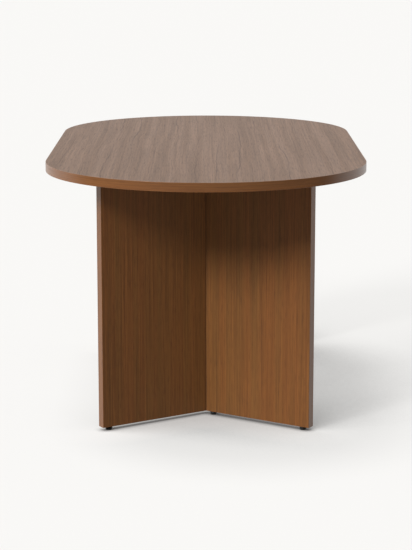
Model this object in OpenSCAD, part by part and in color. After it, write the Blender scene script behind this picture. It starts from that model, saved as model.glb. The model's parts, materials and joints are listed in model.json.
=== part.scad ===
// Dining table: a veneered board top with half-round ends on two V-shaped bases of mitred panels.
// Millimetres. The origin is on the floor under the middle of the top, Z is up, Y runs along the
// table and X across it. The front end is at -Y, and left and right are seen from there.

/* [Table top] */
// Length of the top
top_l = 1600; // [1400:10:2200]
// Width of the top, which is also the diameter of its round ends
top_w = 900; // [800:10:1100]
// Thickness of the finished top
top_t = 25; // [22:1:40]
// Height of the finished top above the floor
table_h = 740; // [700:5:780]

/* [Veneer and edging] */
// Thickness of the veneer on each face of a board
veneer_t = 0.6; // [0.4:0.1:1.5]
// Thickness of the banding on the edges of a board
band_t = 1; // [0.8:0.1:3]
// Radius that breaks the outer corners of the banding
arris_r = 0.7; // [0.2:0.1:1.5]

/* [V-shaped bases] */
// Width of each base across its two open ends
base_w = 600; // [500:10:700]
// Angle between each panel and the width of the table
panel_angle = 32.5; // [26:0.5:42]
// Thickness of the finished panels
panel_t = 25; // [22:1:36]
// Height of the panels' lower edges above the floor
floor_gap = 10; // [9.5:0.5:16]

/* [Mitre tongue] */
// Thickness of the loose tongue in the mitre
tongue_t = 4; // [3:0.5:6]
// Width of the tongue across the mitre
tongue_w = 18; // [12:1:22]
// Distance of the tongue from the inner corner of the V
tongue_in = 12; // [10:0.5:15]
// Height of the tongue's lower end above the panels' lower edges
tongue_stop = 60; // [50:5:120]
// Glue gap around the tongue
glue_gap = 0.1; // [0.05:0.05:0.3]

/* [Dowels between panel and top] */
// Diameter of the dowels
dowel_d = 8; // [6:0.5:10]
// Length of a dowel inside the panel
dowel_down = 18; // [12:1:25]
// Length of a dowel inside the top
dowel_up = 12; // [8:1:16]
// Chamfer on a dowel's ends
dowel_chamfer = 1; // [0.5:0.1:1.5]
// Free depth of a dowel hole past the dowel
dowel_free = 1; // [0.5:0.1:2]
// Distance from the panel's end to the outer dowel
dowel_end_in = 36; // [20:1:40]
// Distance from the V's inner corner to the inner dowel
dowel_apex_in = 32; // [25:1:45]

/* [Cam fittings between panel and top] */
// Diameter of the cam housing
cam_d = 15; // [12:0.5:16]
// Length of the cam housing past the bolt's axis
cam_past = 4.5; // [4:0.5:5]
// Distance of the cam's axis below the panel's upper edge
cam_drop = 34; // [24:1:40]
// Distance from the panel's end to the outer cam
cam_end_in = 72; // [60:1:90]
// Distance from the V's inner corner to the inner cam
cam_apex_in = 76; // [62:1:90]
// Diameter of the bolt's thread in the top
bolt_thread_d = 6; // [5:0.5:7]
// Length of the bolt's thread in the top
bolt_thread_l = 11; // [8:0.5:14]
// Diameter of the bolt's collar, which bears on the underside of the top
bolt_collar_d = 7.6; // [7.2:0.1:9]
// Thickness of the bolt's collar
bolt_collar_t = 2; // [1:0.5:4]
// Diameter of the bolt's shank
bolt_shank_d = 5; // [4.6:0.1:6]
// Diameter of the bolt's neck, which the cam's jaws close round
bolt_neck_d = 3.6; // [3:0.1:4.4]
// Diameter of the bolt's head
bolt_head_d = 6.8; // [6:0.1:7]
// Length of the bolt's head
bolt_head_l = 4; // [3:0.5:5]
// Sweep of the slot in the cam that the bolt's head enters by
cam_slot_sweep = 110; // [90:5:130]
// Width of the cross recess that turns the cam
drive_w = 1.4; // [1:0.1:2]
// Length of the cross recess
drive_l = 8; // [6:0.5:9]
// Depth of the cross recess
drive_depth = 2.5; // [1.5:0.5:3]
// Gap between the cam, its bolt and their holes
cam_gap = 0.2; // [0.1:0.05:0.4]
// Diameter of the cap over a cam
cap_d = 18; // [17:0.5:20]
// Height that a cap stands proud of the panel
cap_t = 1; // [0.8:0.1:1.5]
// Depth of a cap's plug in the cam hole
cap_plug = 1.6; // [1:0.1:2]

/* [Levelling feet] */
// Distance from the panel's end to the outer feet
foot_end_in = 25; // [16:1:30]
// Distance from the mitre to the middle foot, along the panel
foot_mitre_in = 26; // [24:1:40]
// Diameter of the foot pad
pad_d = 20; // [18:0.5:22]
// Height of the foot pad
pad_h = 8; // [6:0.25:8.5]
// Radius round the lower edge of the pad
pad_round = 1.2; // [0.5:0.1:2]
// Radius round the upper edge of the pad
pad_shoulder = 1.8; // [0.5:0.1:2.2]
// Diameter of the stem
stem_d = 8; // [7:0.5:9]
// Length of the stem above its hexagon
stem_l = 30; // [26:1:34]
// Width across the flats of the stem's hexagon
hex_af = 13; // [12:0.5:14]
// Diameter of the stem's neck inside the pad
neck_d = 6; // [5:0.5:6.5]
// Height of the neck, from the head to the top of the pad
neck_h = 2; // [1.4:0.1:2.4]
// Diameter of the stem's head, which snaps into the pad
head_d = 9; // [8:0.5:10]
// Height of the stem's head
head_h = 2.4; // [1.5:0.1:2.8]
// Gap between the stem and the pad's socket
socket_gap = 0.1; // [0.05:0.01:0.2]
// Diameter of the threaded insert in the panel
insert_d = 12; // [11:0.5:14]
// Length of the threaded insert
insert_l = 20; // [16:1:22]
// Radial gap between the stem and the insert's bore
thread_gap = 0.05; // [0.02:0.01:0.1]
// Radial gap round the stem in the hole above the insert
bore_gap = 0.5; // [0.3:0.1:1]
// Free depth of the stem's hole past the stem
bore_free = 2; // [1:0.5:4]

/* [Hidden] */
$fn = 96;
EPS = 1;
HOLE_GAP = 0.05;
LEFT = -1;
RIGHT = 1;

ENDS = ["front", "rear"];
SIDES = ["left", "right"];
FEET = ["left", "middle", "right"];

// Top: the core and its veneers end where the banding begins
arc_y = (top_l - top_w) / 2;
top_under = table_h - top_t;
core_w = top_w - 2 * band_t;
core_l = top_l - 2 * band_t;
arris = min(arris_r, 0.9 * band_t);

// Panels, in their own axes: x runs out from the V's inner corner along the inner face, and y runs
// through the thickness from the inner face to the outer one
panel_l = (base_w / 2 - panel_t * sin(panel_angle)) / cos(panel_angle);
panel_mid = panel_t / 2;
board_l = panel_l - band_t;
board_z = floor_gap + band_t;

// Fittings along a panel
dowel_x = [dowel_apex_in, panel_l - dowel_end_in];
cam_x = [cam_apex_in, panel_l - cam_end_in];
cam_z = top_under - cam_drop;
cam_hole_d = cam_d + 2 * cam_gap;
cam_hole_depth = panel_mid + cam_past + cam_gap;
bolt_hole_d = bolt_collar_d + 2 * cam_gap;
end_foot_x = panel_l - foot_end_in;
mitre_foot_x = foot_mitre_in - mitre_shift(panel_mid);

// Feet: the hexagon fills the gap between the pad and the insert
hex_h = floor_gap - pad_h;
stem_bore_h = stem_l + bore_free;

// How far the mitre leans along the panel at a depth y from the inner face
function mitre_shift(y) = y * tan(panel_angle);

WALNUT_TOP = "#8a6a52";
WALNUT_EDGE = "#7a5236";
WALNUT_PANEL = "#6f4a2d";
BOARD = "#b08a5e";
BEECH = "#d8b98a";
ZINC = "#b9bcc0";
BLACK = "#201d1b";
BROWN_PLASTIC = "#5a3b26";

// Plan of a board with half-round ends
module racetrack(l, w) {
    square([w, l - w], center = true);
    for (y = [-1, 1]) translate([0, y * (l - w) / 2]) circle(d = w, $fn = 360);
}

// Cross-section of an edge banding: x is out from the board, y up, with both outer corners broken
module band_section(h) {
    inside = band_t - arris;
    square([inside, h]);
    translate([0, arris]) square([band_t, h - 2 * arris]);
    intersection() {
        for (y = [arris, h - arris]) translate([inside, y]) circle(r = arris, $fn = 32);
        square([band_t, h]);
    }
}

// Places a front-base piece at the front, or turned half round to the rear
module at_end(e) rotate(180 * e) translate([0, -arc_y, 0]) children();

// Puts a piece drawn in panel axes on the left or right panel of the front base
module on_panel(side) mirror([side == LEFT ? 1 : 0, 0, 0]) rotate(-panel_angle) children();

// Slab of a panel between two depths from its inner face, cut off at the mitre
module panel_slab(y0, y1, x1, z0) {
    translate([0, 0, z0]) linear_extrude(top_under - z0)
        polygon([[-mitre_shift(y0), y0], [x1, y0], [x1, y1], [-mitre_shift(y1), y1]]);
}

module at_dowels() for (x = dowel_x) translate([x, panel_mid, top_under]) children();

module at_bolts() for (x = cam_x) translate([x, panel_mid, top_under]) children();

// A cam's own axes: z runs in from the panel's outer face and y points up at the bolt
module at_cams() for (x = cam_x) translate([x, panel_t, cam_z]) rotate([90, 0, 0]) children();

// Every panel in turn, for what the top shares with all four
module on_each_panel() for (e = [0, 1], side = [LEFT, RIGHT]) at_end(e) on_panel(side) children();

module top_holes() {
    on_each_panel() {
        at_dowels() translate([0, 0, -EPS])
            cylinder(d = dowel_d + 2 * HOLE_GAP, h = dowel_up + dowel_free + EPS);
        at_bolts() translate([0, 0, -EPS])
            cylinder(d = bolt_thread_d + 2 * HOLE_GAP, h = bolt_thread_l + cam_gap + EPS);
    }
}

module top_core() {
    color(BOARD) difference() {
        translate([0, 0, top_under + veneer_t]) linear_extrude(top_t - 2 * veneer_t)
            racetrack(core_l, core_w);
        top_holes();
    }
}

module top_face_veneer() {
    color(WALNUT_TOP) translate([0, 0, table_h - veneer_t]) linear_extrude(veneer_t)
        racetrack(core_l, core_w);
}

module top_backing_veneer() {
    color(WALNUT_TOP) difference() {
        translate([0, 0, top_under]) linear_extrude(veneer_t) racetrack(core_l, core_w);
        top_holes();
    }
}

// The banding runs in one strip round the top: two straights and two half circles
module top_edge_band() {
    color(WALNUT_EDGE) translate([0, 0, top_under]) for (e = [0, 1]) rotate(180 * e) {
        translate([0, arc_y]) rotate_extrude(angle = 180, $fn = 360)
            translate([core_w / 2, 0]) band_section(top_t);
        translate([core_w / 2, arc_y, 0]) rotate([90, 0, 0]) linear_extrude(2 * arc_y)
            band_section(top_t);
    }
}

// Holes that open in the lower edge of a panel for its feet
module foot_holes(feet_x) {
    for (x = feet_x) translate([x, panel_mid, floor_gap]) {
        translate([0, 0, -EPS]) cylinder(d = insert_d, h = insert_l + EPS);
        cylinder(d = stem_d + 2 * bore_gap, h = stem_bore_h);
    }
}

module tongue_space(gap) {
    z0 = floor_gap + tongue_stop - gap;
    translate([-tongue_w / 2 - gap, tongue_in - tongue_t / 2 - gap, z0])
        cube([tongue_w + 2 * gap, tongue_t + 2 * gap, top_under - z0 + (gap > 0 ? EPS : 0)]);
}

function panel_feet(side) = side == RIGHT ? [end_foot_x, mitre_foot_x] : [end_foot_x];

module panel_core(side) {
    color(BOARD) difference() {
        on_panel(side) difference() {
            panel_slab(veneer_t, panel_t - veneer_t, board_l, board_z);
            at_cams() cylinder(d = cam_hole_d, h = cam_hole_depth);
            at_bolts() translate([0, 0, -cam_drop]) cylinder(d = bolt_hole_d, h = cam_drop + EPS);
            at_dowels() translate([0, 0, -dowel_down - dowel_free])
                cylinder(d = dowel_d + 2 * HOLE_GAP, h = dowel_down + dowel_free + EPS);
            foot_holes(panel_feet(side));
        }
        tongue_space(glue_gap);
    }
}

module inner_veneer(side) {
    color(WALNUT_PANEL) on_panel(side) panel_slab(0, veneer_t, board_l, board_z);
}

module outer_veneer(side) {
    color(WALNUT_PANEL) on_panel(side) difference() {
        panel_slab(panel_t - veneer_t, panel_t, board_l, board_z);
        at_cams() translate([0, 0, -EPS]) cylinder(d = cam_hole_d, h = cam_hole_depth);
    }
}

// The banding on the panel's upright end, seen from above as a strip with broken corners
module end_band(side) {
    color(WALNUT_EDGE) on_panel(side) translate([board_l, 0, floor_gap])
        linear_extrude(top_under - floor_gap) band_section(panel_t);
}

module bottom_band(side) {
    color(WALNUT_EDGE) on_panel(side) difference() {
        translate([0, 0, floor_gap]) linear_extrude(band_t)
            polygon([[0, 0], [board_l, 0], [board_l, panel_t], [-mitre_shift(panel_t), panel_t]]);
        foot_holes(panel_feet(side));
    }
}

module mitre_tongue() color(BEECH) tongue_space(0);

module dowel() {
    l = dowel_down + dowel_up;
    r = dowel_d / 2;
    translate([0, 0, -dowel_down]) rotate_extrude()
        polygon([[0, 0], [r - dowel_chamfer, 0], [r, dowel_chamfer], [r, l - dowel_chamfer],
                 [r - dowel_chamfer, l], [0, l]]);
}

module dowels() color(BEECH) for (side = [LEFT, RIGHT]) on_panel(side) at_dowels() dowel();

// The bolt hangs from the top: thread, collar, shank, neck and the head that the cam pulls down
module cam_bolt() {
    head = -cam_drop - bolt_head_l / 2;
    neck = head + bolt_head_l;
    shank = -cam_drop + cam_d / 2 + cam_gap;
    rotate_extrude() polygon([
        [0, head], [bolt_head_d / 2, head], [bolt_head_d / 2, neck], [bolt_neck_d / 2, neck],
        [bolt_neck_d / 2, shank], [bolt_shank_d / 2, shank], [bolt_shank_d / 2, -bolt_collar_t],
        [bolt_collar_d / 2, -bolt_collar_t], [bolt_collar_d / 2, 0], [bolt_thread_d / 2, 0],
        [bolt_thread_d / 2, bolt_thread_l], [0, bolt_thread_l]]);
}

module cam_bolts() color(ZINC) for (side = [LEFT, RIGHT]) on_panel(side) at_bolts() cam_bolt();

// A drum with a pocket for the bolt's head, a slot that lets the head in as the drum turns, a way
// for the bolt's neck and a cross recess in its outer end
module cam_housing() {
    z0 = cap_plug + cam_gap;
    r = cam_d / 2;
    pocket_r = bolt_head_d / 2 + cam_gap;
    neck_r = bolt_neck_d / 2 + cam_gap;
    difference() {
        translate([0, 0, z0]) cylinder(r = r, h = panel_mid + cam_past - z0);
        translate([0, 0, panel_mid]) {
            rotate([90, 0, 0]) cylinder(r = pocket_r, h = bolt_head_l + 2 * cam_gap, center = true);
            rotate([-90, 0, 0]) cylinder(r = neck_r, h = r + EPS);
            rotate(-cam_slot_sweep + 90) rotate_extrude(angle = cam_slot_sweep)
                translate([0, -neck_r]) square([r + EPS, 2 * neck_r]);
        }
        for (a = [0, 90]) rotate(a) translate([0, 0, z0 + drive_depth / 2 - EPS / 2])
            cube([drive_l, drive_w, drive_depth + EPS], center = true);
    }
}

module cam_housings() {
    color(ZINC) for (side = [LEFT, RIGHT]) on_panel(side) at_cams() cam_housing();
}

module cam_cap() {
    translate([0, 0, -cap_t]) cylinder(d1 = cap_d - cap_t, d2 = cap_d, h = cap_t);
    cylinder(d = cam_d, h = cap_plug);
}

module cam_caps() {
    color(BROWN_PLASTIC) for (side = [LEFT, RIGHT]) on_panel(side) at_cams() cam_cap();
}

module at_foot(side, x) on_panel(side) translate([x, panel_mid, 0]) children();

module foot_insert() {
    translate([0, 0, floor_gap]) difference() {
        cylinder(d = insert_d, h = insert_l);
        translate([0, 0, -EPS]) cylinder(d = stem_d + 2 * thread_gap, h = insert_l + 2 * EPS);
    }
}

module foot_inserts() {
    color(ZINC) for (side = [LEFT, RIGHT]) for (x = panel_feet(side)) at_foot(side, x) foot_insert();
}

// Half section of the pad's outside, with its lower and upper edges rounded
module pad_outline() {
    r = pad_d / 2;
    low = r - pad_round;
    high = r - pad_shoulder;
    square([low, pad_h]);
    square([high, pad_h]);
    translate([0, pad_round]) square([r, pad_h - pad_round - pad_shoulder]);
    translate([low, pad_round]) circle(r = pad_round, $fn = 48);
    translate([high, pad_h - pad_shoulder]) circle(r = pad_shoulder, $fn = 48);
}

// The stem's neck and head, or with a gap the socket that holds them
module socket_section(gap) {
    head_top = pad_h - neck_h;
    translate([0, head_top - head_h - gap]) square([head_d / 2 + gap, head_h + 2 * gap]);
    translate([0, head_top]) square([neck_d / 2 + gap, neck_h + (gap > 0 ? EPS : 0)]);
}

module foot_pad() {
    color(BLACK) rotate_extrude() difference() {
        pad_outline();
        socket_section(socket_gap);
    }
}

module foot_stem() {
    color(BLACK) {
        rotate_extrude() socket_section(0);
        translate([0, 0, pad_h]) cylinder(d = hex_af / cos(30), h = hex_h, $fn = 6);
        translate([0, 0, floor_gap]) cylinder(d = stem_d, h = stem_l);
    }
}

top_core();
top_face_veneer();
top_backing_veneer();
top_edge_band();

// The rear base is the front one turned half round, so its left panel is drawn as a right one
for (e = [0, 1]) at_end(e) {
    for (s = [0, 1]) {
        side = (e == s) ? LEFT : RIGHT;
        name = str(ENDS[e], "_", SIDES[s]);
        panel_core(side);
        inner_veneer(side);
        outer_veneer(side);
        end_band(side);
        bottom_band(side);
    }
    mitre_tongue();
    dowels();
    cam_housings();
    cam_bolts();
    cam_caps();
    foot_inserts();
    for (f = [0, 1, 2]) {
        side = (FEET[f] == "middle" || e == (f == 0 ? 1 : 0)) ? RIGHT : LEFT;
        x = FEET[f] == "middle" ? mitre_foot_x : end_foot_x;
        name = str(ENDS[e], "_", FEET[f]);
        at_foot(side, x) foot_pad();
        at_foot(side, x) foot_stem();
    }
}
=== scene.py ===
"""Dining table with a half-round ended veneered top on two V-shaped panel bases.

Adds the finishes, the small moulded and turned fittings, and the studio around the fixed frame.
"""

import json
import math

import bmesh
import bpy
from bpy.props import FloatProperty, FloatVectorProperty, IntProperty, PointerProperty
from mathutils import Matrix, Vector

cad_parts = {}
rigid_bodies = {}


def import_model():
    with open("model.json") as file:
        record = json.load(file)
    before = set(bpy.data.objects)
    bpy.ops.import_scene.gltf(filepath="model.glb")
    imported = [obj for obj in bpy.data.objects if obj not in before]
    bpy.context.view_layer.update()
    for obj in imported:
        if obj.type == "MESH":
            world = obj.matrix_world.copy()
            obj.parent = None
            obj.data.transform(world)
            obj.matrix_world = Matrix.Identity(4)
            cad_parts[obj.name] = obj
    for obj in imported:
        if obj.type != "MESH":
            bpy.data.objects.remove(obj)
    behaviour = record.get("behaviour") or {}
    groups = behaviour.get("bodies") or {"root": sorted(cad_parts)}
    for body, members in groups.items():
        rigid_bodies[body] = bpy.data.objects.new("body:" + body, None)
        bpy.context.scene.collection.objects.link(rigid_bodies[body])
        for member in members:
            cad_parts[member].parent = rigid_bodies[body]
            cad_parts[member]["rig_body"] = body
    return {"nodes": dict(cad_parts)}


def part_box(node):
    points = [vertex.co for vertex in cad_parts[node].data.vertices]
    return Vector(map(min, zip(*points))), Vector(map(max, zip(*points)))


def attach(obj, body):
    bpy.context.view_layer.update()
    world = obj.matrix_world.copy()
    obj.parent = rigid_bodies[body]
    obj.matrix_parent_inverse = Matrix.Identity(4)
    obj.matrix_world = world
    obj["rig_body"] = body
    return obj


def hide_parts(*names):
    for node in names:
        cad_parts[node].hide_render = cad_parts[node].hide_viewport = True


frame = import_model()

bl_info = {
    "name": "Dining Table on V Bases",
    "version": (1, 0, 0),
    "blender": (4, 5, 0),
    "location": "3D View > Sidebar > Dining Table",
    "description": "Veneers, fittings and studio for a dining table with half-round ends",
    "category": "Object",
}

MM = 0.001
# Corners nearer than this are one corner
WELD = 0.001 * MM
ENDS = ("front", "rear")
SIDES = ("left", "right")
FEET = ("left", "middle", "right")
# Sockets of the Mix node when it mixes colours
MIX_A, MIX_B, MIX_RESULT = 6, 7, 2


def linear(hex_colour):
    """Linear red, green, blue and alpha of an sRGB hex colour."""
    channels = [int(hex_colour[i:i + 2], 16) / 255 for i in (1, 3, 5)]
    return [c / 12.92 if c <= 0.04045 else ((c + 0.055) / 1.055) ** 2.4 for c in channels] + [1.0]


def colour(name, description, hex_colour):
    """A colour property whose default is an sRGB hex colour."""
    return FloatVectorProperty(name=name, description=description, size=4, min=0, max=1,
                               subtype="COLOR", default=linear(hex_colour))


def length(name, description, millimetres):
    """A length property whose default is given in millimetres."""
    return FloatProperty(name=name, description=description, min=0, unit="LENGTH",
                         precision=4, default=millimetres * MM)


def share(name, description, default):
    """A property that is a share from 0 to 1."""
    return FloatProperty(name=name, description=description, min=0, max=1,
                         subtype="FACTOR", default=default)


def angle(name, description, degrees):
    """An angle property whose default is given in degrees."""
    return FloatProperty(name=name, description=description, subtype="ANGLE",
                         default=math.radians(degrees))


def strength(name, description, default):
    """A lamp's strength. At pi, a surface that faces the lamp shows its colour as it is written."""
    return FloatProperty(name=name, description=description, min=0, default=default)


def refraction(name, description, default):
    """An index of refraction."""
    return FloatProperty(name=name, description=description, min=1, max=2, default=default)


def number(name, description, least, most, default):
    """A whole number, such as how many sides a round form has."""
    return IntProperty(name=name, description=description, min=least, max=most, default=default)


class WoodSettings(bpy.types.PropertyGroup):
    """What all the walnut has in common"""

    vein: colour("Vein", "Colour of the few dark lines that wander along the grain", "#3C2516")
    pore: colour("Pore", "Colour of the short open pores", "#2E1C10")
    band_width: length("Band width", "Width of the soft bands in the wood", 24)
    band_run: length("Band run", "Length over which a soft band changes", 1600)
    sway_width: length("Sway width", "Width of wood whose lines wander together", 160)
    sway_run: length("Sway run", "Length over which the lines change course", 550)
    vein_gap: length("Vein gap", "Distance between the dark lines", 62)
    vein_width: length("Vein width", "Width of a dark line, with its soft edges", 3.72)
    vein_run: length("Vein run", "Length over which a dark line changes course", 700)
    patch_width: length("Patch width", "Width of wood over which the dark lines fade in and out", 70)
    patch_run: length("Patch run", "Length over which the dark lines fade in and out", 600)
    pore_width: length("Pore width", "Width of a pore, drawn coarser than the real 0.3 mm", 2)


class TopVeneerSettings(bpy.types.PropertyGroup):
    """Veneer of the top: crown cut, with wandering lines"""

    light: colour("Light wood", "Pale early wood after staining", "#795331")
    dark: colour("Dark wood", "Dark late wood after staining", "#624225")
    band_light: colour("Light band", "Tint of the paler bands", "#FFFAF6")
    band_dark: colour("Dark band", "Tint of the darker bands", "#EDE9E3")
    line: length("Line", "Width of one growth line", 4.5)
    run: length("Run", "Length over which a line changes", 800)
    sway: length("Sway", "How far the lines wander sideways", 24)
    veins: share("Veins", "How much of the dark veins shows", 0.9)
    pores: share("Pores", "How much of the pores shows", 0.45)
    pore_run: length("Pore run", "Length of a pore along the grain", 60)
    roughness: share("Roughness", "Roughness of the satin lacquer", 0.47)
    lacquer: refraction("Lacquer", "Index of refraction of the lacquer", 1.5)
    swing: share("Swing", "How much duller the lacquer is over dark lines and pores", 0.045)


class PanelVeneerSettings(bpy.types.PropertyGroup):
    """Veneer of the panels: quarter cut, with fine straight lines"""

    light: colour("Light wood", "Pale early wood after staining", "#88572B")
    dark: colour("Dark wood", "Dark late wood after staining", "#6C4420")
    band_light: colour("Light band", "Tint of the redder bands", "#FFF8F3")
    band_dark: colour("Dark band", "Tint of the browner bands", "#F5FAF2")
    line: length("Line", "Width of one growth line", 3.2)
    run: length("Run", "Length over which a line changes", 300)
    sway: length("Sway", "How far the lines wander sideways", 3)
    veins: share("Veins", "How much of the dark veins shows", 0.35)
    pores: share("Pores", "How much of the pores shows", 0.3)
    pore_run: length("Pore run", "Length of a pore along the grain", 32)
    roughness: share("Roughness", "Roughness of the satin lacquer", 0.47)
    lacquer: refraction("Lacquer", "Index of refraction of the thin oiled lacquer", 1.42)
    swing: share("Swing", "How much duller the lacquer is over dark lines and pores", 0.04)
    glue_line: length("Glue line", "Width of the dark line where two panels' faces meet in the mitre", 1.8)


class EdgeBandingSettings(bpy.types.PropertyGroup):
    """Banding round the top and on the panels' edges: thin straight strips with a smoother lacquer"""

    light: colour("Light wood", "Pale lines after staining", "#845733")
    dark: colour("Dark wood", "Dark lines after staining", "#6F4729")
    band_light: colour("Light band", "Tint of the paler bands", "#FFFBF8")
    band_dark: colour("Dark band", "Tint of the darker bands", "#F8F8F4")
    line: length("Line", "Width of one growth line", 2)
    run: length("Run", "Length over which a line changes", 180)
    sway: length("Sway", "How far the lines wander sideways", 1)
    veins: share("Veins", "How much of the dark veins shows", 0)
    pores: share("Pores", "How much of the pores shows", 0.2)
    pore_run: length("Pore run", "Length of a pore along the grain", 32)
    roughness: share("Roughness", "Roughness of the lacquer", 0.28)
    lacquer: refraction("Lacquer", "Index of refraction of the lacquer", 1.5)
    swing: share("Swing", "How much duller the lacquer is over dark lines and pores", 0.04)


class FinishSettings(bpy.types.PropertyGroup):
    """Colours of the boards, the joinery and the fittings"""

    board_pale: colour("Pale chips", "Pale chips of the particle board", "#C3A274")
    board_brown: colour("Brown chips", "Brown chips of the particle board", "#8A6641")
    beech: colour("Beech", "Planed beech", "#DDB98C")
    beech_fleck: colour("Beech fleck", "Flecks in the beech", "#B98A5C")
    cam: colour("Cam housing", "Die-cast zinc of the cam housings", "#A9ABAE")
    bolt: colour("Bolt and insert", "Zinc plating of the cam bolts and foot inserts", "#BFC3C9")
    cap: colour("Cap", "Plastic of the cam caps", "#5A3B26")
    stem: colour("Foot stem", "Black plating of the feet's stems", "#2A2826")
    pad: colour("Foot pad", "Plastic of the feet's pads", "#1B1A19")


class FittingSettings(bpy.types.PropertyGroup):
    """Sizes of the turned and moulded fittings"""

    thread_d: length("Thread diameter", "Outer diameter of the foot's thread", 7.96)
    thread_pitch: length("Thread pitch", "Rise of the foot's thread in one turn", 1.25)
    thread_depth: length("Thread depth", "Depth of the foot's thread", 0.65)
    thread_sides: number("Thread sides", "Faces in one turn of the thread", 12, 64, 24)
    hexagon_flats: length("Hexagon flats", "Width across the flats of the foot's hexagon", 13)
    hexagon_edge: length("Hexagon edge", "Width of the hexagon's broken edges", 0.4)
    neck_d: length("Neck diameter", "Diameter of the stem's neck in the pad", 6)
    neck_h: length("Neck height", "Height of the stem's neck in the pad", 2)
    head_d: length("Head diameter", "Diameter of the stem's head in the pad", 9)
    head_h: length("Head height", "Height of the stem's head in the pad", 2.4)
    head_edge: length("Head edge", "Chamfer on the edges of the stem's head", 0.3)
    pad_sides: number("Pad sides", "Faces round a pad", 24, 128, 64)
    pad_round: length("Pad lower round", "Radius round the pad's lower edge", 1.2)
    pad_shoulder: length("Pad shoulder", "Radius round the pad's upper edge", 1.8)
    pad_rim: length("Pad rim", "Width of the ring that the pad stands on", 2.2)
    pad_recess: length("Pad recess", "Depth of the hollow under the pad", 0.9)
    recess_draft: length("Recess draft", "How far the hollow's wall leans out to its mouth", 0.3)
    pad_ribs: number("Pad ribs", "Ribs in the hollow under the pad", 3, 16, 8)
    rib_t: length("Rib thickness", "Thickness of a rib under the pad", 0.8)
    rib_start: length("Rib start", "Distance from the pad's middle at which the ribs begin", 2.4)
    rib_lift: length("Rib lift", "How far the ribs stay off the floor", 0.2)
    socket_gap: length("Socket gap", "Gap between the stem and the pad's socket", 0.1)
    cap_proud: length("Cap height", "Height that a cap stands proud of the panel", 1)
    cap_crown: length("Cap crown", "Rise of the cap's face from its rim to its middle", 0.3)
    cap_round: length("Cap round", "Radius round the edge of the cap's face", 0.45)
    cap_sides: number("Cap sides", "Faces round a cap", 24, 128, 48)
    cap_d: length("Cap diameter", "Diameter of a cap on the panel", 18)
    plug_d: length("Plug diameter", "Diameter of the plug behind the cap's face", 15)
    plug_depth: length("Plug depth", "Depth of the plug in the cam's hole", 1.6)


class StageSettings(bpy.types.PropertyGroup):
    """Camera, lamps and floor"""

    camera_back: length("Camera distance", "Distance of the camera before the table's middle", 5430.1)
    camera_up: length("Camera height", "Height of the camera above the floor", 1416.4)
    camera_tilt: angle("Camera tilt", "Angle that the camera looks down", 11.21)
    focal_length: FloatProperty(name="Focal length", description="Focal length in millimetres, on a "
                                "sensor 36 mm wide", min=1, default=119.03)
    key_turn: angle("Key turn", "Angle of the key lamp to the left of the camera", 40)
    key_height: angle("Key height", "Angle of the key lamp above the floor", 33)
    key_spread: angle("Key spread", "Angle that the key lamp fills, which softens its shadows", 17)
    key_power: strength("Key power", "Strength of the key lamp", 2.4)
    side_turn: angle("Side lamp turn", "Angle of the side lamp to the left of the camera", 78)
    side_height: angle("Side lamp height", "Angle of the side lamp above the floor", 46)
    side_spread: angle("Side lamp spread", "Angle that the side lamp fills", 48)
    side_power: strength("Side lamp power", "Strength of the side lamp", 1.9)
    fill: share("Fill", "Strength of the even light from all round", 0.28)
    dark_side: share("Dark side", "How bright the studio behind the camera looks in reflections", 0.02)
    low_turn: angle("Low lamp turn", "Angle of the floor's low lamp to the left of the camera", 44)
    low_height: angle("Low lamp height", "Angle of the floor's low lamp above the floor", 20)
    low_spread: angle("Low lamp spread", "Angle that the floor's low lamp fills", 12)
    low_power: strength("Low lamp power", "Strength of the floor's low lamp", 5)
    high_turn: angle("High lamp turn", "Angle of the floor's high lamp to the left of the camera", 130)
    high_height: angle("High lamp height", "Angle of the floor's high lamp above the floor", 78)
    high_spread: angle("High lamp spread", "Angle that the floor's high lamp fills", 20)
    high_power: strength("High lamp power", "Strength of the floor's high lamp", 4.4)
    floor_grey: share("Floor grey", "Grey of the floor's paper under the lamps", 0.08)
    floor_glow: share("Floor glow", "Even light of the floor to the camera and in reflections", 0.761)
    floor_bounce: share("Floor bounce", "Even light of the floor on the table", 0.39)
    contact_shade: share("Contact shade", "Share of the floor's light that comes from right above", 0.23)
    contact_reach: length("Contact reach", "How far off the table still hides that light", 600)
    lee_shade: share("Lee shade", "Share of the floor's light that comes from the side", 0.76)
    lee_reach: length("Lee reach", "How far off the table still hides that light", 1000)
    lee_turn: angle("Lee turn", "Angle to the left of the camera that it comes from", 75)
    lee_height: angle("Lee height", "Angle above the floor that it comes from", 45)
    gap_shade: share("Gap shade", "How much light the narrow gap under the panels keeps off", 0.85)
    gap_reach: length("Gap reach", "How far from the table the gap's shade reaches", 20)
    thrown: share("Thrown light", "Light that the wood throws back on the floor close to it", 0.12)
    thrown_reach: length("Thrown reach", "How far from the wood that light reaches", 145)
    thrown_turn: angle("Thrown turn", "Angle to the left of the camera that it comes from", 180)
    thrown_height: angle("Thrown height", "Angle above the floor that it comes from", 30)
    thrown_tint: colour("Thrown tint", "Colour of the light that the wood throws back", "#FFECE2")
    floor_reach: length("Floor reach", "Radius of the floor", 60000)
    floor_sides: number("Floor sides", "Sides of the floor's round sheet", 24, 256, 96)
    floor_drop: length("Floor drop", "Gap that keeps the floor's surface off the pads", 0.1)
    backdrop: colour("Backdrop", "Colour of the studio behind the table", "#F9F8F6")


def add_node(tree, kind, sockets=None, **settings):
    """Adds a node. A socket's value is a constant, or the output that feeds it."""
    node = tree.nodes.new(kind)
    for name, value in settings.items():
        setattr(node, name, value)
    for key, value in (sockets or {}).items():
        if isinstance(value, bpy.types.NodeSocket):
            tree.links.new(value, node.inputs[key])
        else:
            node.inputs[key].default_value = value
    return node


def new_material(name):
    """An empty material and its node tree."""
    material = bpy.data.materials.new(name)
    material.use_nodes = True
    material.node_tree.nodes.clear()
    return material, material.node_tree


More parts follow.
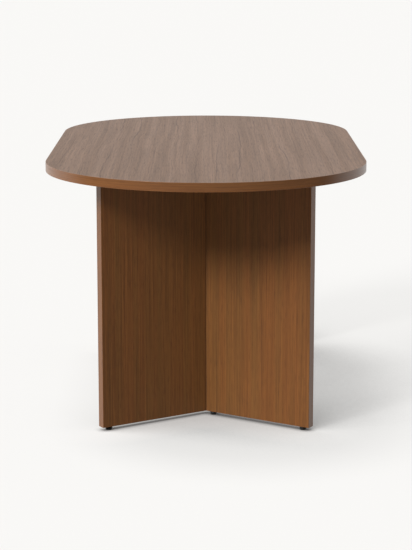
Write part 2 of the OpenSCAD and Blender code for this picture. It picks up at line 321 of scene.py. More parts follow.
def finish_surface(tree, shader):
    """Adds the material's output and links the shader to it."""
    add_node(tree, "ShaderNodeOutputMaterial", {"Surface": shader.outputs["BSDF"]})


def streaks(tree, place, across, along, run, turn=0.0, detail=2.0, seed=0.0):
    """Noise drawn out along the grain, whose features are across wide and along long, in metres.

    run names the axes that the grain runs along, and turn turns them about Z.
    """
    size = [along if axis in run else across for axis in "XYZ"]
    mapping = add_node(tree, "ShaderNodeMapping",
                       {"Vector": place, "Rotation": (0, 0, turn), "Scale": size,
                        "Location": (seed, seed, seed)}, vector_type="TEXTURE")
    noise = add_node(tree, "ShaderNodeTexNoise",
                     {"Vector": mapping.outputs["Vector"], "Scale": 1.0, "Detail": detail,
                      "Roughness": 0.55})
    return noise.outputs["Fac"]


def swayed_place(tree, wood, sway, run, turn):
    """Object coordinates carried sideways by slow noise, so that the lines wander together."""
    place = add_node(tree, "ShaderNodeTexCoord").outputs["Object"]
    size = [wood.sway_run if axis in run else wood.sway_width for axis in "XYZ"]
    mapping = add_node(tree, "ShaderNodeMapping",
                       {"Vector": place, "Rotation": (0, 0, turn), "Scale": size},
                       vector_type="TEXTURE")
    drift = add_node(tree, "ShaderNodeTexNoise",
                     {"Vector": mapping.outputs["Vector"], "Scale": 1.0, "Detail": 4.0})
    offset = add_node(tree, "ShaderNodeVectorMath",
                      {0: drift.outputs["Color"], 1: (0.5, 0.5, 0.5)}, operation="SUBTRACT")
    moved = add_node(tree, "ShaderNodeVectorMath",
                     {0: offset.outputs["Vector"], "Scale": sway}, operation="SCALE")
    return add_node(tree, "ShaderNodeVectorMath",
                    {0: place, 1: moved.outputs["Vector"]}, operation="ADD").outputs["Vector"]


def vein_lines(tree, place, wood, cut, run, turn):
    """Share of dark vein: lines side by side that wander along the grain and fade in and out."""
    across = add_node(tree, "ShaderNodeSeparateXYZ", {"Vector": place}).outputs["X"]
    wander = streaks(tree, place, 2 * wood.vein_gap, wood.vein_run, run, turn, detail=4.0, seed=8.1)
    count = add_node(tree, "ShaderNodeMath", {0: across, 1: 1 / wood.vein_gap, 2: wander},
                     operation="MULTIPLY_ADD")
    # The distance from the nearest line, in gaps
    wave = add_node(tree, "ShaderNodeMath", {0: count.outputs[0], 1: 0.5}, operation="PINGPONG")
    ridge = add_node(tree, "ShaderNodeMapRange",
                     {"Value": wave.outputs[0], "From Min": 0.0,
                      "From Max": wood.vein_width / 2 / wood.vein_gap, "To Min": 1.0, "To Max": 0.0})
    patch = streaks(tree, place, wood.patch_width, wood.patch_run, run, turn, detail=2.0, seed=5.3)
    shown = add_node(tree, "ShaderNodeMapRange",
                     {"Value": patch, "From Min": 0.4, "From Max": 0.65, "To Max": cut.veins})
    vein = add_node(tree, "ShaderNodeMath", {0: ridge.outputs["Result"], 1: shown.outputs["Result"]},
                    operation="MULTIPLY")
    return vein.outputs[0]


def mitre_line(tree, width):
    """Share of glue along the mitre, which lies at X = 0: full in the line's middle half."""
    place = add_node(tree, "ShaderNodeTexCoord").outputs["Object"]
    across = add_node(tree, "ShaderNodeSeparateXYZ", {"Vector": place}).outputs["X"]
    away = add_node(tree, "ShaderNodeMath", {0: across}, operation="ABSOLUTE")
    return add_node(tree, "ShaderNodeMapRange",
                    {"Value": away.outputs[0], "From Min": 0.25 * width, "From Max": 0.75 * width,
                     "To Min": 1.0, "To Max": 0.0}).outputs["Result"]


def veneer(name, wood, cut, run, turn=0.0, glue_line=0.0):
    """Walnut veneer, sliced, stained and lacquered.

    The eye sees close lines of light and dark wood, broad soft bands, a few dark veins that wander
    along the grain, short pores, and a soft sheen on top. glue_line is the width of the dark line
    that shows where two panels meet in a mitre.
    """
    material, tree = new_material(name)
    place = swayed_place(tree, wood, cut.sway, run, turn)
    lines = streaks(tree, place, cut.line, cut.run, run, turn, detail=3.0)
    # Noise stays near 0.5, so each pattern stretches the middle of its range
    contrast = add_node(tree, "ShaderNodeMapRange",
                        {"Value": lines, "From Min": 0.3, "From Max": 0.7})
    wood_mix = add_node(tree, "ShaderNodeMix",
                        {0: contrast.outputs["Result"], MIX_A: cut.dark[:], MIX_B: cut.light[:]},
                        data_type="RGBA")
    # Broad bands tint the wood
    bands = streaks(tree, place, wood.band_width, wood.band_run, run, turn, detail=1.5, seed=3.7)
    lean = add_node(tree, "ShaderNodeMapRange", {"Value": bands, "From Min": 0.35, "From Max": 0.65})
    tint = add_node(tree, "ShaderNodeMix",
                    {0: lean.outputs["Result"], MIX_A: cut.band_dark[:], MIX_B: cut.band_light[:]},
                    data_type="RGBA")
    tinted = add_node(tree, "ShaderNodeMix",
                      {0: 1.0, MIX_A: wood_mix.outputs[MIX_RESULT], MIX_B: tint.outputs[MIX_RESULT]},
                      data_type="RGBA", blend_type="MULTIPLY")
    vein = vein_lines(tree, place, wood, cut, run, turn)
    veined = add_node(tree, "ShaderNodeMix",
                      {0: vein, MIX_A: tinted.outputs[MIX_RESULT], MIX_B: wood.vein[:]},
                      data_type="RGBA")
    # Pores are short dark dashes
    dashes = streaks(tree, place, wood.pore_width, cut.pore_run, run, turn, detail=1.0, seed=1.9)
    pores = add_node(tree, "ShaderNodeMapRange",
                     {"Value": dashes, "From Min": 0.52, "From Max": 0.75, "To Max": cut.pores})
    stained = add_node(tree, "ShaderNodeMix",
                       {0: pores.outputs["Result"], MIX_A: veined.outputs[MIX_RESULT],
                        MIX_B: wood.pore[:]}, data_type="RGBA")
    if glue_line:
        # The glue in the mitre is as dark as the pores
        stained = add_node(tree, "ShaderNodeMix",
                           {0: mitre_line(tree, glue_line), MIX_A: stained.outputs[MIX_RESULT],
                            MIX_B: wood.pore[:]}, data_type="RGBA")
    # The lacquer sinks in over dark lines, dark bands, veins and pores, and lies duller there
    pale = add_node(tree, "ShaderNodeMath",
                    {0: contrast.outputs["Result"], 1: lean.outputs["Result"]}, operation="ADD")
    open_wood = add_node(tree, "ShaderNodeMath", {0: vein, 1: pores.outputs["Result"]},
                         operation="MAXIMUM")
    # pale runs from 0 to 2, and a vein or a pore takes this much off it
    sinking = 3.0
    even = add_node(tree, "ShaderNodeMath",
                    {0: open_wood.outputs[0], 1: -sinking, 2: pale.outputs[0]},
                    operation="MULTIPLY_ADD")
    roughness = add_node(tree, "ShaderNodeMapRange",
                         {"Value": even.outputs[0], "From Min": 1 - sinking, "From Max": 2.0,
                          "To Min": cut.roughness + sinking * cut.swing,
                          "To Max": cut.roughness - cut.swing})
    bump = add_node(tree, "ShaderNodeBump",
                    {"Height": dashes, "Strength": 0.05, "Distance": 0.1 * MM})
    shader = add_node(tree, "ShaderNodeBsdfPrincipled",
                      {"Base Color": stained.outputs[MIX_RESULT],
                       "Roughness": roughness.outputs["Result"], "IOR": cut.lacquer,
                       "Normal": bump.outputs["Normal"]})
    finish_surface(tree, shader)
    return material


def particle_board(finishes):
    """Particle board, pressed from chips and sanded: pale straw and brown chips in matt glue."""
    material, tree = new_material("Particle board")
    chip = 2.5 * MM
    place = add_node(tree, "ShaderNodeTexCoord").outputs["Object"]
    chips = add_node(tree, "ShaderNodeTexVoronoi", {"Vector": place, "Scale": 1 / chip})
    tone = add_node(tree, "ShaderNodeMix",
                    {0: chips.outputs["Distance"], MIX_A: finishes.board_pale[:],
                     MIX_B: finishes.board_brown[:]}, data_type="RGBA")
    bump = add_node(tree, "ShaderNodeBump",
                    {"Height": chips.outputs["Distance"], "Strength": 0.3, "Distance": 0.2 * MM})
    shader = add_node(tree, "ShaderNodeBsdfPrincipled",
                      {"Base Color": tone.outputs[MIX_RESULT], "Roughness": 0.85, "IOR": 1.45,
                       "Normal": bump.outputs["Normal"]})
    finish_surface(tree, shader)
    return material


def beech(finishes):
    """Beech, planed and left bare: pale pink-brown with short dark flecks along the grain."""
    material, tree = new_material("Planed beech")
    fleck_width, fleck_run = 0.6 * MM, 3 * MM
    place = add_node(tree, "ShaderNodeTexCoord").outputs["Object"]
    flecks = streaks(tree, place, fleck_width, fleck_run, "Z", detail=2.0)
    spread = add_node(tree, "ShaderNodeMapRange", {"Value": flecks, "From Min": 0.4, "From Max": 0.7})
    tone = add_node(tree, "ShaderNodeMix",
                    {0: spread.outputs["Result"], MIX_A: finishes.beech[:],
                     MIX_B: finishes.beech_fleck[:]}, data_type="RGBA")
    shader = add_node(tree, "ShaderNodeBsdfPrincipled",
                      {"Base Color": tone.outputs[MIX_RESULT], "Roughness": 0.6, "IOR": 1.5})
    finish_surface(tree, shader)
    return material


def plated_metal(name, shade, roughness, grain):
    """Metal with a thin plating: its reflections are broken by fine grain and a cloudy tarnish."""
    material, tree = new_material(name)
    cloud_size, tarnish = 4 * MM, 0.1
    place = add_node(tree, "ShaderNodeTexCoord").outputs["Object"]
    cloud = add_node(tree, "ShaderNodeTexNoise",
                     {"Vector": place, "Scale": 1 / cloud_size, "Detail": 3.0})
    gloss = add_node(tree, "ShaderNodeMapRange",
                     {"Value": cloud.outputs["Fac"], "To Min": roughness - tarnish,
                      "To Max": roughness + tarnish})
    pits = add_node(tree, "ShaderNodeTexNoise", {"Vector": place, "Scale": 1 / grain, "Detail": 2.0})
    bump = add_node(tree, "ShaderNodeBump",
                    {"Height": pits.outputs["Fac"], "Strength": 0.2, "Distance": 0.05 * MM})
    shader = add_node(tree, "ShaderNodeBsdfPrincipled",
                      {"Base Color": shade[:], "Metallic": 1.0, "Roughness": gloss.outputs["Result"],
                       "Normal": bump.outputs["Normal"]})
    finish_surface(tree, shader)
    return material


def moulded_plastic(name, shade, roughness):
    """Moulded plastic with a spark-eroded grain: even colour, a soft highlight broken into grains."""
    material, tree = new_material(name)
    grain_size, lift = 0.4 * MM, 1.35
    place = add_node(tree, "ShaderNodeTexCoord").outputs["Object"]
    grain = add_node(tree, "ShaderNodeTexNoise",
                     {"Vector": place, "Scale": 1 / grain_size, "Detail": 2.0})
    paler = [lift * c for c in shade[:3]] + [1.0]
    tone = add_node(tree, "ShaderNodeMix", {0: grain.outputs["Fac"], MIX_A: shade[:], MIX_B: paler},
                    data_type="RGBA")
    bump = add_node(tree, "ShaderNodeBump",
                    {"Height": grain.outputs["Fac"], "Strength": 0.25, "Distance": 0.04 * MM})
    shader = add_node(tree, "ShaderNodeBsdfPrincipled",
                      {"Base Color": tone.outputs[MIX_RESULT], "Roughness": roughness, "IOR": 1.49,
                       "Normal": bump.outputs["Normal"]})
    finish_surface(tree, shader)
    return material


def dress(nodes, material):
    """Gives CAD nodes this one material."""
    for name in nodes:
        slots = frame["nodes"][name].data.materials
        slots.clear()
        slots.append(material)


def body_of_node(name):
    """The body that a CAD node rides on."""
    return frame["nodes"][name]["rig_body"]


def add_piece(mesh, name, material, stands_for, smooth_angle=35):
    """Makes a finished piece of a bmesh, in place of a CAD node and on the same body.

    Faces that meet at less than smooth_angle, in degrees, are shaded as one surface.
    """
    bmesh.ops.recalc_face_normals(mesh, faces=mesh.faces)
    data = bpy.data.meshes.new(name)
    mesh.to_mesh(data)
    mesh.free()
    data.materials.append(material)
    data.shade_smooth()
    data.set_sharp_from_angle(angle=math.radians(smooth_angle))
    piece = bpy.data.objects.new(name, data)
    bpy.context.scene.collection.objects.link(piece)
    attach(piece, body_of_node(stands_for))
    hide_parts(stands_for)
    return piece


def arc(centre, radius, start, end, steps):
    """Points on an arc in the plane of radius and height, with its angles in degrees."""
    angles = [math.radians(start + (end - start) * i / steps) for i in range(steps + 1)]
    return [(centre[0] + radius * math.cos(a), centre[1] + radius * math.sin(a)) for a in angles]


def lathe(mesh, outline, sides, centre=Vector((0, 0, 0))):
    """Turns an outline of (radius, height) points about Z. An end on the axis closes to a pole."""
    points = [mesh.verts.new(centre + Vector((r, 0, z))) for r, z in outline]
    edges = [mesh.edges.new(pair) for pair in zip(points, points[1:])]
    bmesh.ops.spin(mesh, geom=points + edges, cent=centre, axis=(0, 0, 1), angle=math.tau,
                   steps=sides, use_merge=True)
    bmesh.ops.remove_doubles(mesh, verts=mesh.verts, dist=WELD)


def join(mesh, shell):
    """Adds a closed shell to a mesh and frees the shell."""
    passing = bpy.data.meshes.new("shell")
    shell.to_mesh(passing)
    shell.free()
    mesh.from_mesh(passing)
    bpy.data.meshes.remove(passing)


def foot_centre(pad):
    """Point on the floor under the middle of a foot pad."""
    low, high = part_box(pad)
    return Vector(((low.x + high.x) / 2, (low.y + high.y) / 2, 0))


def threaded_stem(name, pad, stem, fittings, material):
    """Levelling stem: a snap head and neck, a hexagon and a rolled thread with a chamfered tip."""
    centre = foot_centre(pad)
    pad_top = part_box(pad)[1].z
    panel_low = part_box("front_left_end_band")[0].z
    low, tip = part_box(stem)[0].z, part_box(stem)[1].z
    mesh = bmesh.new()
    # The thread runs a turn past both ends and is cut square there. Its ridge is in shares of the pitch
    crest = fittings.thread_d / 2
    root = crest - fittings.thread_depth
    pitch = fittings.thread_pitch
    flank, flat = 0.38, 0.12
    ridge = [(root, 0), (crest, flank), (crest, flank + flat), (root, 2 * flank + flat), (root, 1)]
    turns = math.ceil((tip - panel_low) / pitch) + 2
    start = panel_low - pitch
    points = [mesh.verts.new(centre + Vector((r, 0, start + z * pitch))) for r, z in ridge]
    edges = [mesh.edges.new(pair) for pair in zip(points, points[1:])]
    bmesh.ops.spin(mesh, geom=points + edges, cent=centre, axis=(0, 0, 1), angle=math.tau * turns,
                   steps=fittings.thread_sides * turns, dvec=(0, 0, pitch / fittings.thread_sides),
                   use_merge=False)
    bmesh.ops.remove_doubles(mesh, verts=mesh.verts, dist=WELD)
    for height, way in ((panel_low, -1), (tip - pitch, 1)):
        cut = bmesh.ops.bisect_plane(mesh, geom=mesh.verts[:] + mesh.edges[:] + mesh.faces[:],
                                     plane_co=(0, 0, height), plane_no=(0, 0, way),
                                     clear_outer=True)
        rim = [g for g in cut["geom_cut"] if isinstance(g, bmesh.types.BMEdge)]
        bmesh.ops.contextual_create(mesh, geom=rim)
    # The tip's chamfer, the hexagon and the snap head are shells of their own on the same axis
    tip_shell = bmesh.new()
    chamfer = 0.4 * pitch
    lathe(tip_shell, [(0, tip - pitch), (root, tip - pitch), (root, tip - chamfer),
                      (root - chamfer, tip), (0, tip)], fittings.thread_sides, centre)
    hexagon = bmesh.new()
    corner = fittings.hexagon_flats / 2 / math.cos(math.radians(30))
    middle = centre + Vector((0, 0, (panel_low + pad_top) / 2))
    bmesh.ops.create_cone(hexagon, cap_ends=True, segments=6, depth=panel_low - pad_top,
                          radius1=corner, radius2=corner, matrix=Matrix.Translation(middle))
    bmesh.ops.bevel(hexagon, geom=hexagon.edges[:], offset=fittings.hexagon_edge, segments=2,
                    affect="EDGES", profile=0.5, material=-1)
    head = bmesh.new()
    head_top = low + fittings.head_h
    radius, neck, edge = fittings.head_d / 2, fittings.neck_d / 2, fittings.head_edge
    lathe(head, [(0, low), (radius - edge, low), (radius, low + edge), (radius, head_top - edge),
                 (radius - edge, head_top), (neck, head_top), (neck, pad_top), (0, pad_top)],
          2 * fittings.thread_sides, centre)
    for shell in (tip_shell, hexagon, head):
        join(mesh, shell)
    return add_piece(mesh, name, material, stem, smooth_angle=30)


def pad_moulding(name, pad, fittings, material):
    """Foot pad: a thick disc with rounded edges, a snap socket and a ribbed hollow underneath."""
    centre = foot_centre(pad)
    low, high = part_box(pad)
    radius, top = (high.x - low.x) / 2, high.z
    shoulder, lower = fittings.pad_shoulder, fittings.pad_round
    socket = fittings.neck_d / 2 + fittings.socket_gap
    head = fittings.head_d / 2 + fittings.socket_gap
    head_top = top - fittings.neck_h
    head_low = head_top - fittings.head_h - fittings.socket_gap
    hollow = radius - lower - fittings.pad_rim
    recess = fittings.pad_recess
    outline = [(0, recess), (hollow, recess), (hollow + fittings.recess_draft, 0)]
    outline += arc((radius - lower, lower), lower, -90, 0, steps=6)
    outline += arc((radius - shoulder, top - shoulder), shoulder, 0, 90, steps=8)
    outline += [(socket, top), (socket, head_top), (head, head_top), (head, head_low), (0, head_low)]
    mesh = bmesh.new()
    lathe(mesh, outline, fittings.pad_sides, centre)
    start = fittings.rib_start
    rib = Matrix.LocRotScale(Vector(((hollow + start) / 2, 0, recess / 2 + fittings.rib_lift)), None,
                             Vector((hollow - start, fittings.rib_t, recess)))
    for i in range(fittings.pad_ribs):
        turn = Matrix.Rotation(math.tau * i / fittings.pad_ribs, 4, "Z")
        bmesh.ops.create_cube(mesh, size=1, matrix=Matrix.Translation(centre) @ turn @ rib)
    return add_piece(mesh, name, material, pad)


def islands(node):
    """Corner points of each separate solid in a CAD node."""
    mesh = bmesh.new()
    mesh.from_mesh(frame["nodes"][node].data)
    bmesh.ops.remove_doubles(mesh, verts=mesh.verts, dist=WELD)
    found, seen = [], set()
    for first in mesh.verts:
        if first in seen:
            continue
        seen.add(first)
        solid, frontier = [], [first]
        while frontier:
            vert = frontier.pop()
            solid.append(vert.co.copy())
            near = [edge.other_vert(vert) for edge in vert.link_edges]
            fresh = [other for other in near if other not in seen]
            seen.update(fresh)
            frontier += fresh
        found.append(solid)
    mesh.free()
    return found


def cap_mouldings(end, fittings, material):
    """Caps over one base's cams: a low crowned disc with a rounded edge, and a plug in the hole."""
    radius, plug, proud = fittings.cap_d / 2, fittings.plug_d / 2, fittings.cap_proud
    depth, edge = fittings.plug_depth, fittings.cap_round
    rim = proud - fittings.cap_crown
    # The crown is the flat arc through the rim's inner edge and the middle of the face
    inner = radius - edge
    bend = (inner ** 2 + fittings.cap_crown ** 2) / (2 * fittings.cap_crown)
    lean = math.degrees(math.asin(inner / bend))
    outline = [(0, -depth), (plug - edge, -depth), (plug, edge - depth), (plug, 0), (radius, 0)]
    outline += arc((inner, rim - edge), edge, 0, 90 - lean, steps=5)
    outline += arc((0, proud - bend), bend, 90 - lean, 90, steps=8)[1:]
    low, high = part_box(f"{end}_left_inner_veneer")
    tilt = math.atan2(high.y - low.y, high.x - low.x)
    mesh = bmesh.new()
    for points in islands(f"{end}_cam_caps"):
        centre = sum(points, Vector()) / len(points)
        out = Vector((math.copysign(math.sin(tilt), centre.x),
                      -math.copysign(math.cos(tilt), centre.y), 0))
        face = max(point.dot(out) for point in points)
        centre += out * (face - proud - centre.dot(out))
        cap = bmesh.new()
        lathe(cap, outline, fittings.cap_sides)
        bmesh.ops.transform(cap, verts=cap.verts, matrix=Matrix.Translation(centre)
                            @ out.to_track_quat("Z", "Y").to_matrix().to_4x4())
        join(mesh, cap)
    return add_piece(mesh, f"{end}_cam_cap_mouldings", material, f"{end}_cam_caps")


class TABLE_OT_top(bpy.types.Operator):
    """Lays the veneers and the edge banding of the top"""

    bl_idname = "table.top"
    bl_label = "Top"

    def execute(self, context):
        scene = context.scene
        wood = scene.table_wood
        face = veneer("Walnut veneer, top", wood, scene.table_top_veneer, "Y")
        backing = veneer("Walnut veneer, backing", wood, scene.table_panel_veneer, "Y")
        banding = veneer("Walnut edge banding, top", wood, scene.table_edge_banding, "XY")
        dress(["top_face_veneer"], face)
        dress(["top_backing_veneer"], backing)
        dress(["top_edge_band"], banding)
        return {"FINISHED"}


class TABLE_OT_panels(bpy.types.Operator):
    """Lays the veneers and bandings of the four panels"""

    bl_idname = "table.panels"
    bl_label = "Panels"

    def execute(self, context):
        scene = context.scene
        wood = scene.table_wood
        panel = veneer("Walnut veneer, panels", wood, scene.table_panel_veneer, "Z",
                       glue_line=scene.table_panel_veneer.glue_line)
        ends = veneer("Walnut edge banding, panel ends", wood, scene.table_edge_banding, "Z")
        for end in ENDS:
            for side in SIDES:
                name = f"{end}_{side}"
                dress([f"{name}_inner_veneer", f"{name}_outer_veneer"], panel)
                dress([f"{name}_end_band"], ends)
        # The two ways that the panels turn, each with its grain along its lower edge
        for turn, names in ((1, ("front_right", "rear_left")), (-1, ("front_left", "rear_right"))):
            low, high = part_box(f"{names[0]}_bottom_band")
            slope = turn * math.atan2(high.y - low.y, high.x - low.x)
            bottom = veneer(f"Walnut edge banding, {names[0]} lower edge", wood,
                            scene.table_edge_banding, "X", turn=-slope)
            dress([f"{name}_bottom_band" for name in names], bottom)
        return {"FINISHED"}


class TABLE_OT_boards(bpy.types.Operator):
    """Gives the boards and their beech joinery bare wood"""

    bl_idname = "table.boards"
    bl_label = "Boards and joinery"

    def execute(self, context):
        board = particle_board(context.scene.table_finishes)
        wood = beech(context.scene.table_finishes)
        dress(["top_core"] + [f"{end}_{side}_panel_core" for end in ENDS for side in SIDES], board)
        dress([f"{end}_{part}" for end in ENDS for part in ("mitre_tongue", "dowels")], wood)
        return {"FINISHED"}


class TABLE_OT_cam_fittings(bpy.types.Operator):
    """Plates the cams and bolts and moulds their caps"""

    bl_idname = "table.cam_fittings"
    bl_label = "Cam fittings"

    def execute(self, context):
        finishes = context.scene.table_finishes
        cast = plated_metal("Die-cast zinc", finishes.cam, roughness=0.42, grain=0.5 * MM)
        steel = plated_metal("Zinc-plated steel", finishes.bolt, roughness=0.3, grain=0.3 * MM)
        dress([f"{end}_cam_housings" for end in ENDS], cast)
        dress([f"{end}_{part}" for end in ENDS for part in ("cam_bolts", "foot_inserts")], steel)
        plastic = moulded_plastic("Moulded brown polystyrene", finishes.cap, roughness=0.45)
        for end in ENDS:
            cap_mouldings(end, context.scene.table_fittings, plastic)
        return {"FINISHED"}


class TABLE_OT_feet(bpy.types.Operator):
    """Moulds the six foot pads and cuts their threaded stems"""

    bl_idname = "table.feet"
    bl_label = "Levelling feet"

    def execute(self, context):
        finishes, fittings = context.scene.table_finishes, context.scene.table_fittings
        black = plated_metal("Black zinc-plated steel", finishes.stem, roughness=0.4, grain=0.3 * MM)
        plastic = moulded_plastic("Moulded black polypropylene", finishes.pad, roughness=0.42)
        for end in ENDS:
            for foot in FEET:
                name = f"{end}_{foot}_foot"
                pad_moulding(f"{name}_pad_moulding", f"{name}_pad", fittings, plastic)
                threaded_stem(f"{name}_threaded_stem", f"{name}_pad", f"{name}_stem", fittings, black)
        return {"FINISHED"}


def aim(turn, height):
    """Unit vector towards a lamp or a side: turn is to the left of a camera that looks along +Y."""
    return Vector((-math.sin(turn) * math.cos(height), -math.cos(turn) * math.cos(height),
                   math.sin(height)))


def add_sun(name, turn, height, spread, power):
    """Adds a distant lamp, placed by its turn and height. Its spread softens its shadows."""
    lamp = bpy.data.lights.new(name, "SUN")
    lamp.energy = power
    lamp.angle = spread
    sun = bpy.data.objects.new(name, lamp)
    sun.rotation_euler = aim(turn, height).to_track_quat("Z", "Y").to_euler()
    bpy.context.scene.collection.objects.link(sun)
    return sun


def light_only(lamps, name, piece):
    """Lets these lamps light this piece alone."""
    receivers = bpy.data.collections.new(name)
    receivers.objects.link(piece)
    for lamp in lamps:
        lamp.light_linking.receiver_collection = receivers


def lit_half(tree, place):
    """1 on the backdrop's side of the table, falling to 0 on the camera's side."""
    direction = add_node(tree, "ShaderNodeVectorMath", {0: place}, operation="NORMALIZE")
    back = add_node(tree, "ShaderNodeSeparateXYZ", {"Vector": direction.outputs["Vector"]})
    return add_node(tree, "ShaderNodeMapRange",
                    {"Value": back.outputs["Y"], "From Min": 0.05, "From Max": 0.4},
                    interpolation_type="SMOOTHSTEP").outputs["Result"]


def openness(tree, reach, low, high, closed, clear, side=None, samples=8):
    """A value from closed to clear, by how much round a place on the floor the table leaves open.

    reach is how far off the table still counts. The value is closed where the share low is open, and
    clear where the share high is. side is the direction that is looked in, if not straight up.
    """
    sockets = {"Distance": reach}
    if side is not None:
        towards = add_node(tree, "ShaderNodeCombineXYZ", dict(zip("XYZ", side)))
        sockets["Normal"] = towards.outputs["Vector"]
    around = add_node(tree, "ShaderNodeAmbientOcclusion", sockets, samples=samples)
    return add_node(tree, "ShaderNodeMapRange",
                    {"Value": around.outputs["AO"], "From Min": low, "From Max": high,
                     "To Min": closed, "To Max": clear}).outputs["Result"]


def floor_level(tree, stage):
    """Strength of the floor's own light, from right above and from one side, less what is hidden.

    This shade ends nearer the table than a lamp's shadow does.
    """
    above = openness(tree, stage.contact_reach, low=0.2, high=0.9, closed=0.0,
                     clear=stage.floor_glow * stage.contact_shade)
    aside = openness(tree, stage.lee_reach, low=0.2, high=0.7,
                     closed=stage.floor_glow * (1 - stage.contact_shade - stage.lee_shade),
                     clear=stage.floor_glow * (1 - stage.contact_shade),
                     side=aim(stage.lee_turn, stage.lee_height), samples=16)
    return add_node(tree, "ShaderNodeMath", {0: above, 1: aside}, operation="ADD").outputs[0]


def studio_floor(stage):
    """Matt paper floor: takes the shadows, near white to the camera, and open to a view from below.

    Reflections see the paper on the backdrop's side and the dark studio on the camera's side.
    """
    material, tree = new_material("Matt studio paper")
    path = add_node(tree, "ShaderNodeLightPath")
    half = lit_half(tree, add_node(tree, "ShaderNodeTexCoord").outputs["Object"])
    # The narrow gap under the panels is darker than the open floor
    gap = openness(tree, stage.gap_reach, low=0.0, high=1.0, closed=1 - stage.gap_shade, clear=1.0)
    grey = [stage.floor_grey * c for c in stage.backdrop[:3]] + [1.0]
    tone = add_node(tree, "ShaderNodeMix", {0: gap, MIX_A: (0, 0, 0, 1), MIX_B: grey}, data_type="RGBA")
    paper = add_node(tree, "ShaderNodeBsdfDiffuse", {"Color": tone.outputs[MIX_RESULT]})
    direct = add_node(tree, "ShaderNodeMath", {0: path.outputs["Is Camera Ray"],
                                               1: path.outputs["Is Glossy Ray"]}, operation="MAXIMUM")
    seen = add_node(tree, "ShaderNodeMath", {0: direct.outputs[0],
                                             1: path.outputs["Is Transmission Ray"]},
                    operation="MAXIMUM")
    shaded = add_node(tree, "ShaderNodeMath", {0: floor_level(tree, stage), 1: gap},
                      operation="MULTIPLY")
    power = add_node(tree, "ShaderNodeMapRange",
                     {"Value": seen.outputs[0], "To Min": stage.floor_bounce,
                      "To Max": shaded.outputs[0]})
    glow = add_node(tree, "ShaderNodeEmission",
                    {"Color": stage.backdrop[:], "Strength": power.outputs["Result"]})
    # The faces on the camera's side are lit, and throw a little warm light on the floor before them
    thrown = openness(tree, stage.thrown_reach, low=0.45, high=1.0, closed=stage.thrown, clear=0.0,
                      side=aim(stage.thrown_turn, stage.thrown_height))
    thrown_seen = add_node(tree, "ShaderNodeMath", {0: thrown, 1: seen.outputs[0]},
                           operation="MULTIPLY")
    thrown_shaded = add_node(tree, "ShaderNodeMath", {0: thrown_seen.outputs[0], 1: gap},
                             operation="MULTIPLY")
    warm = add_node(tree, "ShaderNodeEmission",
                    {"Color": stage.thrown_tint[:], "Strength": thrown_shaded.outputs[0]})
    lit = add_node(tree, "ShaderNodeAddShader",
                   {0: glow.outputs["Emission"], 1: warm.outputs["Emission"]})
    matt = add_node(tree, "ShaderNodeAddShader", {0: paper.outputs["BSDF"], 1: lit.outputs["Shader"]})
    # The camera sees through it from below, and reflections do on the camera's side
    clear = add_node(tree, "ShaderNodeBsdfTransparent")
    face = add_node(tree, "ShaderNodeNewGeometry")
    below = add_node(tree, "ShaderNodeMath", {0: face.outputs["Backfacing"],
                                              1: path.outputs["Is Camera Ray"]}, operation="MULTIPLY")
    other = add_node(tree, "ShaderNodeMath", {0: 1.0, 1: half}, operation="SUBTRACT")
    dark = add_node(tree, "ShaderNodeMath", {0: other.outputs[0], 1: path.outputs["Is Glossy Ray"]},
                    operation="MULTIPLY")
    open_to = add_node(tree, "ShaderNodeMath", {0: below.outputs[0], 1: dark.outputs[0]},
                       operation="MAXIMUM")
    both = add_node(tree, "ShaderNodeMixShader",
                    {0: open_to.outputs[0], 1: matt.outputs["Shader"], 2: clear.outputs["BSDF"]})
    add_node(tree, "ShaderNodeOutputMaterial", {"Surface": both.outputs["Shader"]})
    return material


def studio_surround(stage):
    """The backdrop to the camera and in reflections, dark behind the camera, and an even fill."""
    world = bpy.data.worlds.new("Studio surround")
    world.use_nodes = True
    tree = world.node_tree
    tree.nodes.clear()
    path = add_node(tree, "ShaderNodeLightPath")
    half = lit_half(tree, add_node(tree, "ShaderNodeTexCoord").outputs["Generated"])
    sheen = add_node(tree, "ShaderNodeMapRange",
                     {"Value": half, "To Min": stage.dark_side, "To Max": 1.0})
    unseen = add_node(tree, "ShaderNodeMapRange",
                      {"Value": path.outputs["Is Glossy Ray"], "To Min": stage.fill,
                       "To Max": sheen.outputs["Result"]})
    seen = add_node(tree, "ShaderNodeMath", {0: path.outputs["Is Camera Ray"],
                                             1: path.outputs["Is Transmission Ray"]},
                    operation="MAXIMUM")
    power = add_node(tree, "ShaderNodeMapRange",
                     {"Value": seen.outputs[0], "To Min": unseen.outputs["Result"], "To Max": 1.0})
    glow = add_node(tree, "ShaderNodeBackground",
                    {"Color": stage.backdrop[:], "Strength": power.outputs["Result"]})
    add_node(tree, "ShaderNodeOutputWorld", {"Surface": glow.outputs["Background"]})
    return world


def lay_floor(scene, stage):
    """A round sheet of paper under the table, kept just off the pads."""
    mesh = bmesh.new()
    bmesh.ops.create_circle(mesh, cap_ends=True, segments=stage.floor_sides, radius=stage.floor_reach,
                            matrix=Matrix.Translation((0, 0, -stage.floor_drop)))
    data = bpy.data.meshes.new("studio_floor")
    mesh.to_mesh(data)
    mesh.free()
    floor = bpy.data.objects.new("studio_floor", data)
    data.materials.append(studio_floor(stage))
    scene.collection.objects.link(floor)
    return floor


def hang_lamps(stage, floor):
    """Two lamps that light everything, and two for the floor alone, to cast the table's shadow."""
    add_sun("key_lamp", stage.key_turn, stage.key_height, stage.key_spread, stage.key_power)
    add_sun("side_lamp", stage.side_turn, stage.side_height, stage.side_spread, stage.side_power)
    low = add_sun("floor_low_lamp", stage.low_turn, stage.low_height, stage.low_spread,
                  stage.low_power)
    high = add_sun("floor_high_lamp", stage.high_turn, stage.high_height, stage.high_spread,
                   stage.high_power)
    light_only((low, high), "floor_alone", floor)


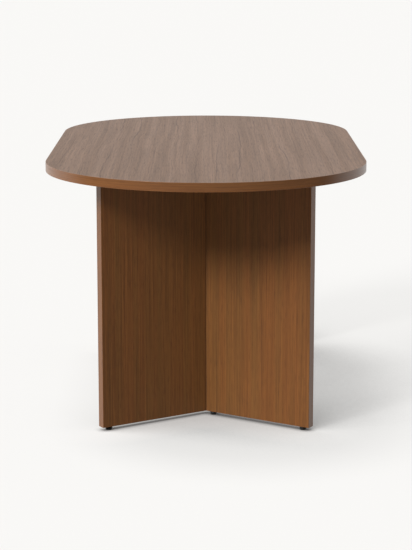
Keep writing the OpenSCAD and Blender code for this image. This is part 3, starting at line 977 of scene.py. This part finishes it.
def place_camera(scene, stage):
    """The camera before the table, level from side to side and tilted down."""
    camera = bpy.data.objects.new("camera", bpy.data.cameras.new("camera"))
    camera.data.sensor_width = 36
    camera.data.lens = stage.focal_length
    camera.data.clip_end = 2 * stage.floor_reach
    camera.location = (0, -stage.camera_back, stage.camera_up)
    camera.rotation_euler = (math.radians(90) - stage.camera_tilt, 0, 0)
    scene.collection.objects.link(camera)
    scene.camera = camera


class TABLE_OT_stage(bpy.types.Operator):
    """Sets the floor, the lamps, the backdrop and the camera"""

    bl_idname = "table.stage"
    bl_label = "Studio"

    def execute(self, context):
        scene = context.scene
        stage = scene.table_stage
        hang_lamps(stage, lay_floor(scene, stage))
        scene.world = studio_surround(stage)
        place_camera(scene, stage)
        scene.view_settings.view_transform = "Standard"
        return {"FINISHED"}


STEPS = (TABLE_OT_top, TABLE_OT_panels, TABLE_OT_boards, TABLE_OT_cam_fittings, TABLE_OT_feet,
         TABLE_OT_stage)


class VIEW3D_PT_dining_table(bpy.types.Panel):
    """Sizes, colours and steps of the dining table"""

    bl_label = "Dining Table"
    bl_space_type = "VIEW_3D"
    bl_region_type = "UI"
    bl_category = "Dining Table"

    def draw(self, context):
        for step in STEPS:
            self.layout.operator(step.bl_idname)
        for name, group in SETTINGS.items():
            box = self.layout.box()
            box.label(text=group.__doc__)
            settings = getattr(context.scene, name)
            for prop in group.__annotations__:
                box.prop(settings, prop)


SETTINGS = {"table_wood": WoodSettings, "table_top_veneer": TopVeneerSettings,
            "table_panel_veneer": PanelVeneerSettings, "table_edge_banding": EdgeBandingSettings,
            "table_finishes": FinishSettings, "table_fittings": FittingSettings,
            "table_stage": StageSettings}
CLASSES = (*SETTINGS.values(), *STEPS, VIEW3D_PT_dining_table)


def register():
    for cls in CLASSES:
        bpy.utils.register_class(cls)
    for name, group in SETTINGS.items():
        setattr(bpy.types.Scene, name, PointerProperty(type=group))


def unregister():
    for name in SETTINGS:
        delattr(bpy.types.Scene, name)
    for cls in reversed(CLASSES):
        bpy.utils.unregister_class(cls)


def main():
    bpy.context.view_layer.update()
    register()
    for step in STEPS:
        group, name = step.bl_idname.split(".")
        getattr(getattr(bpy.ops, group), name)()


if __name__ == "__main__":
    main()
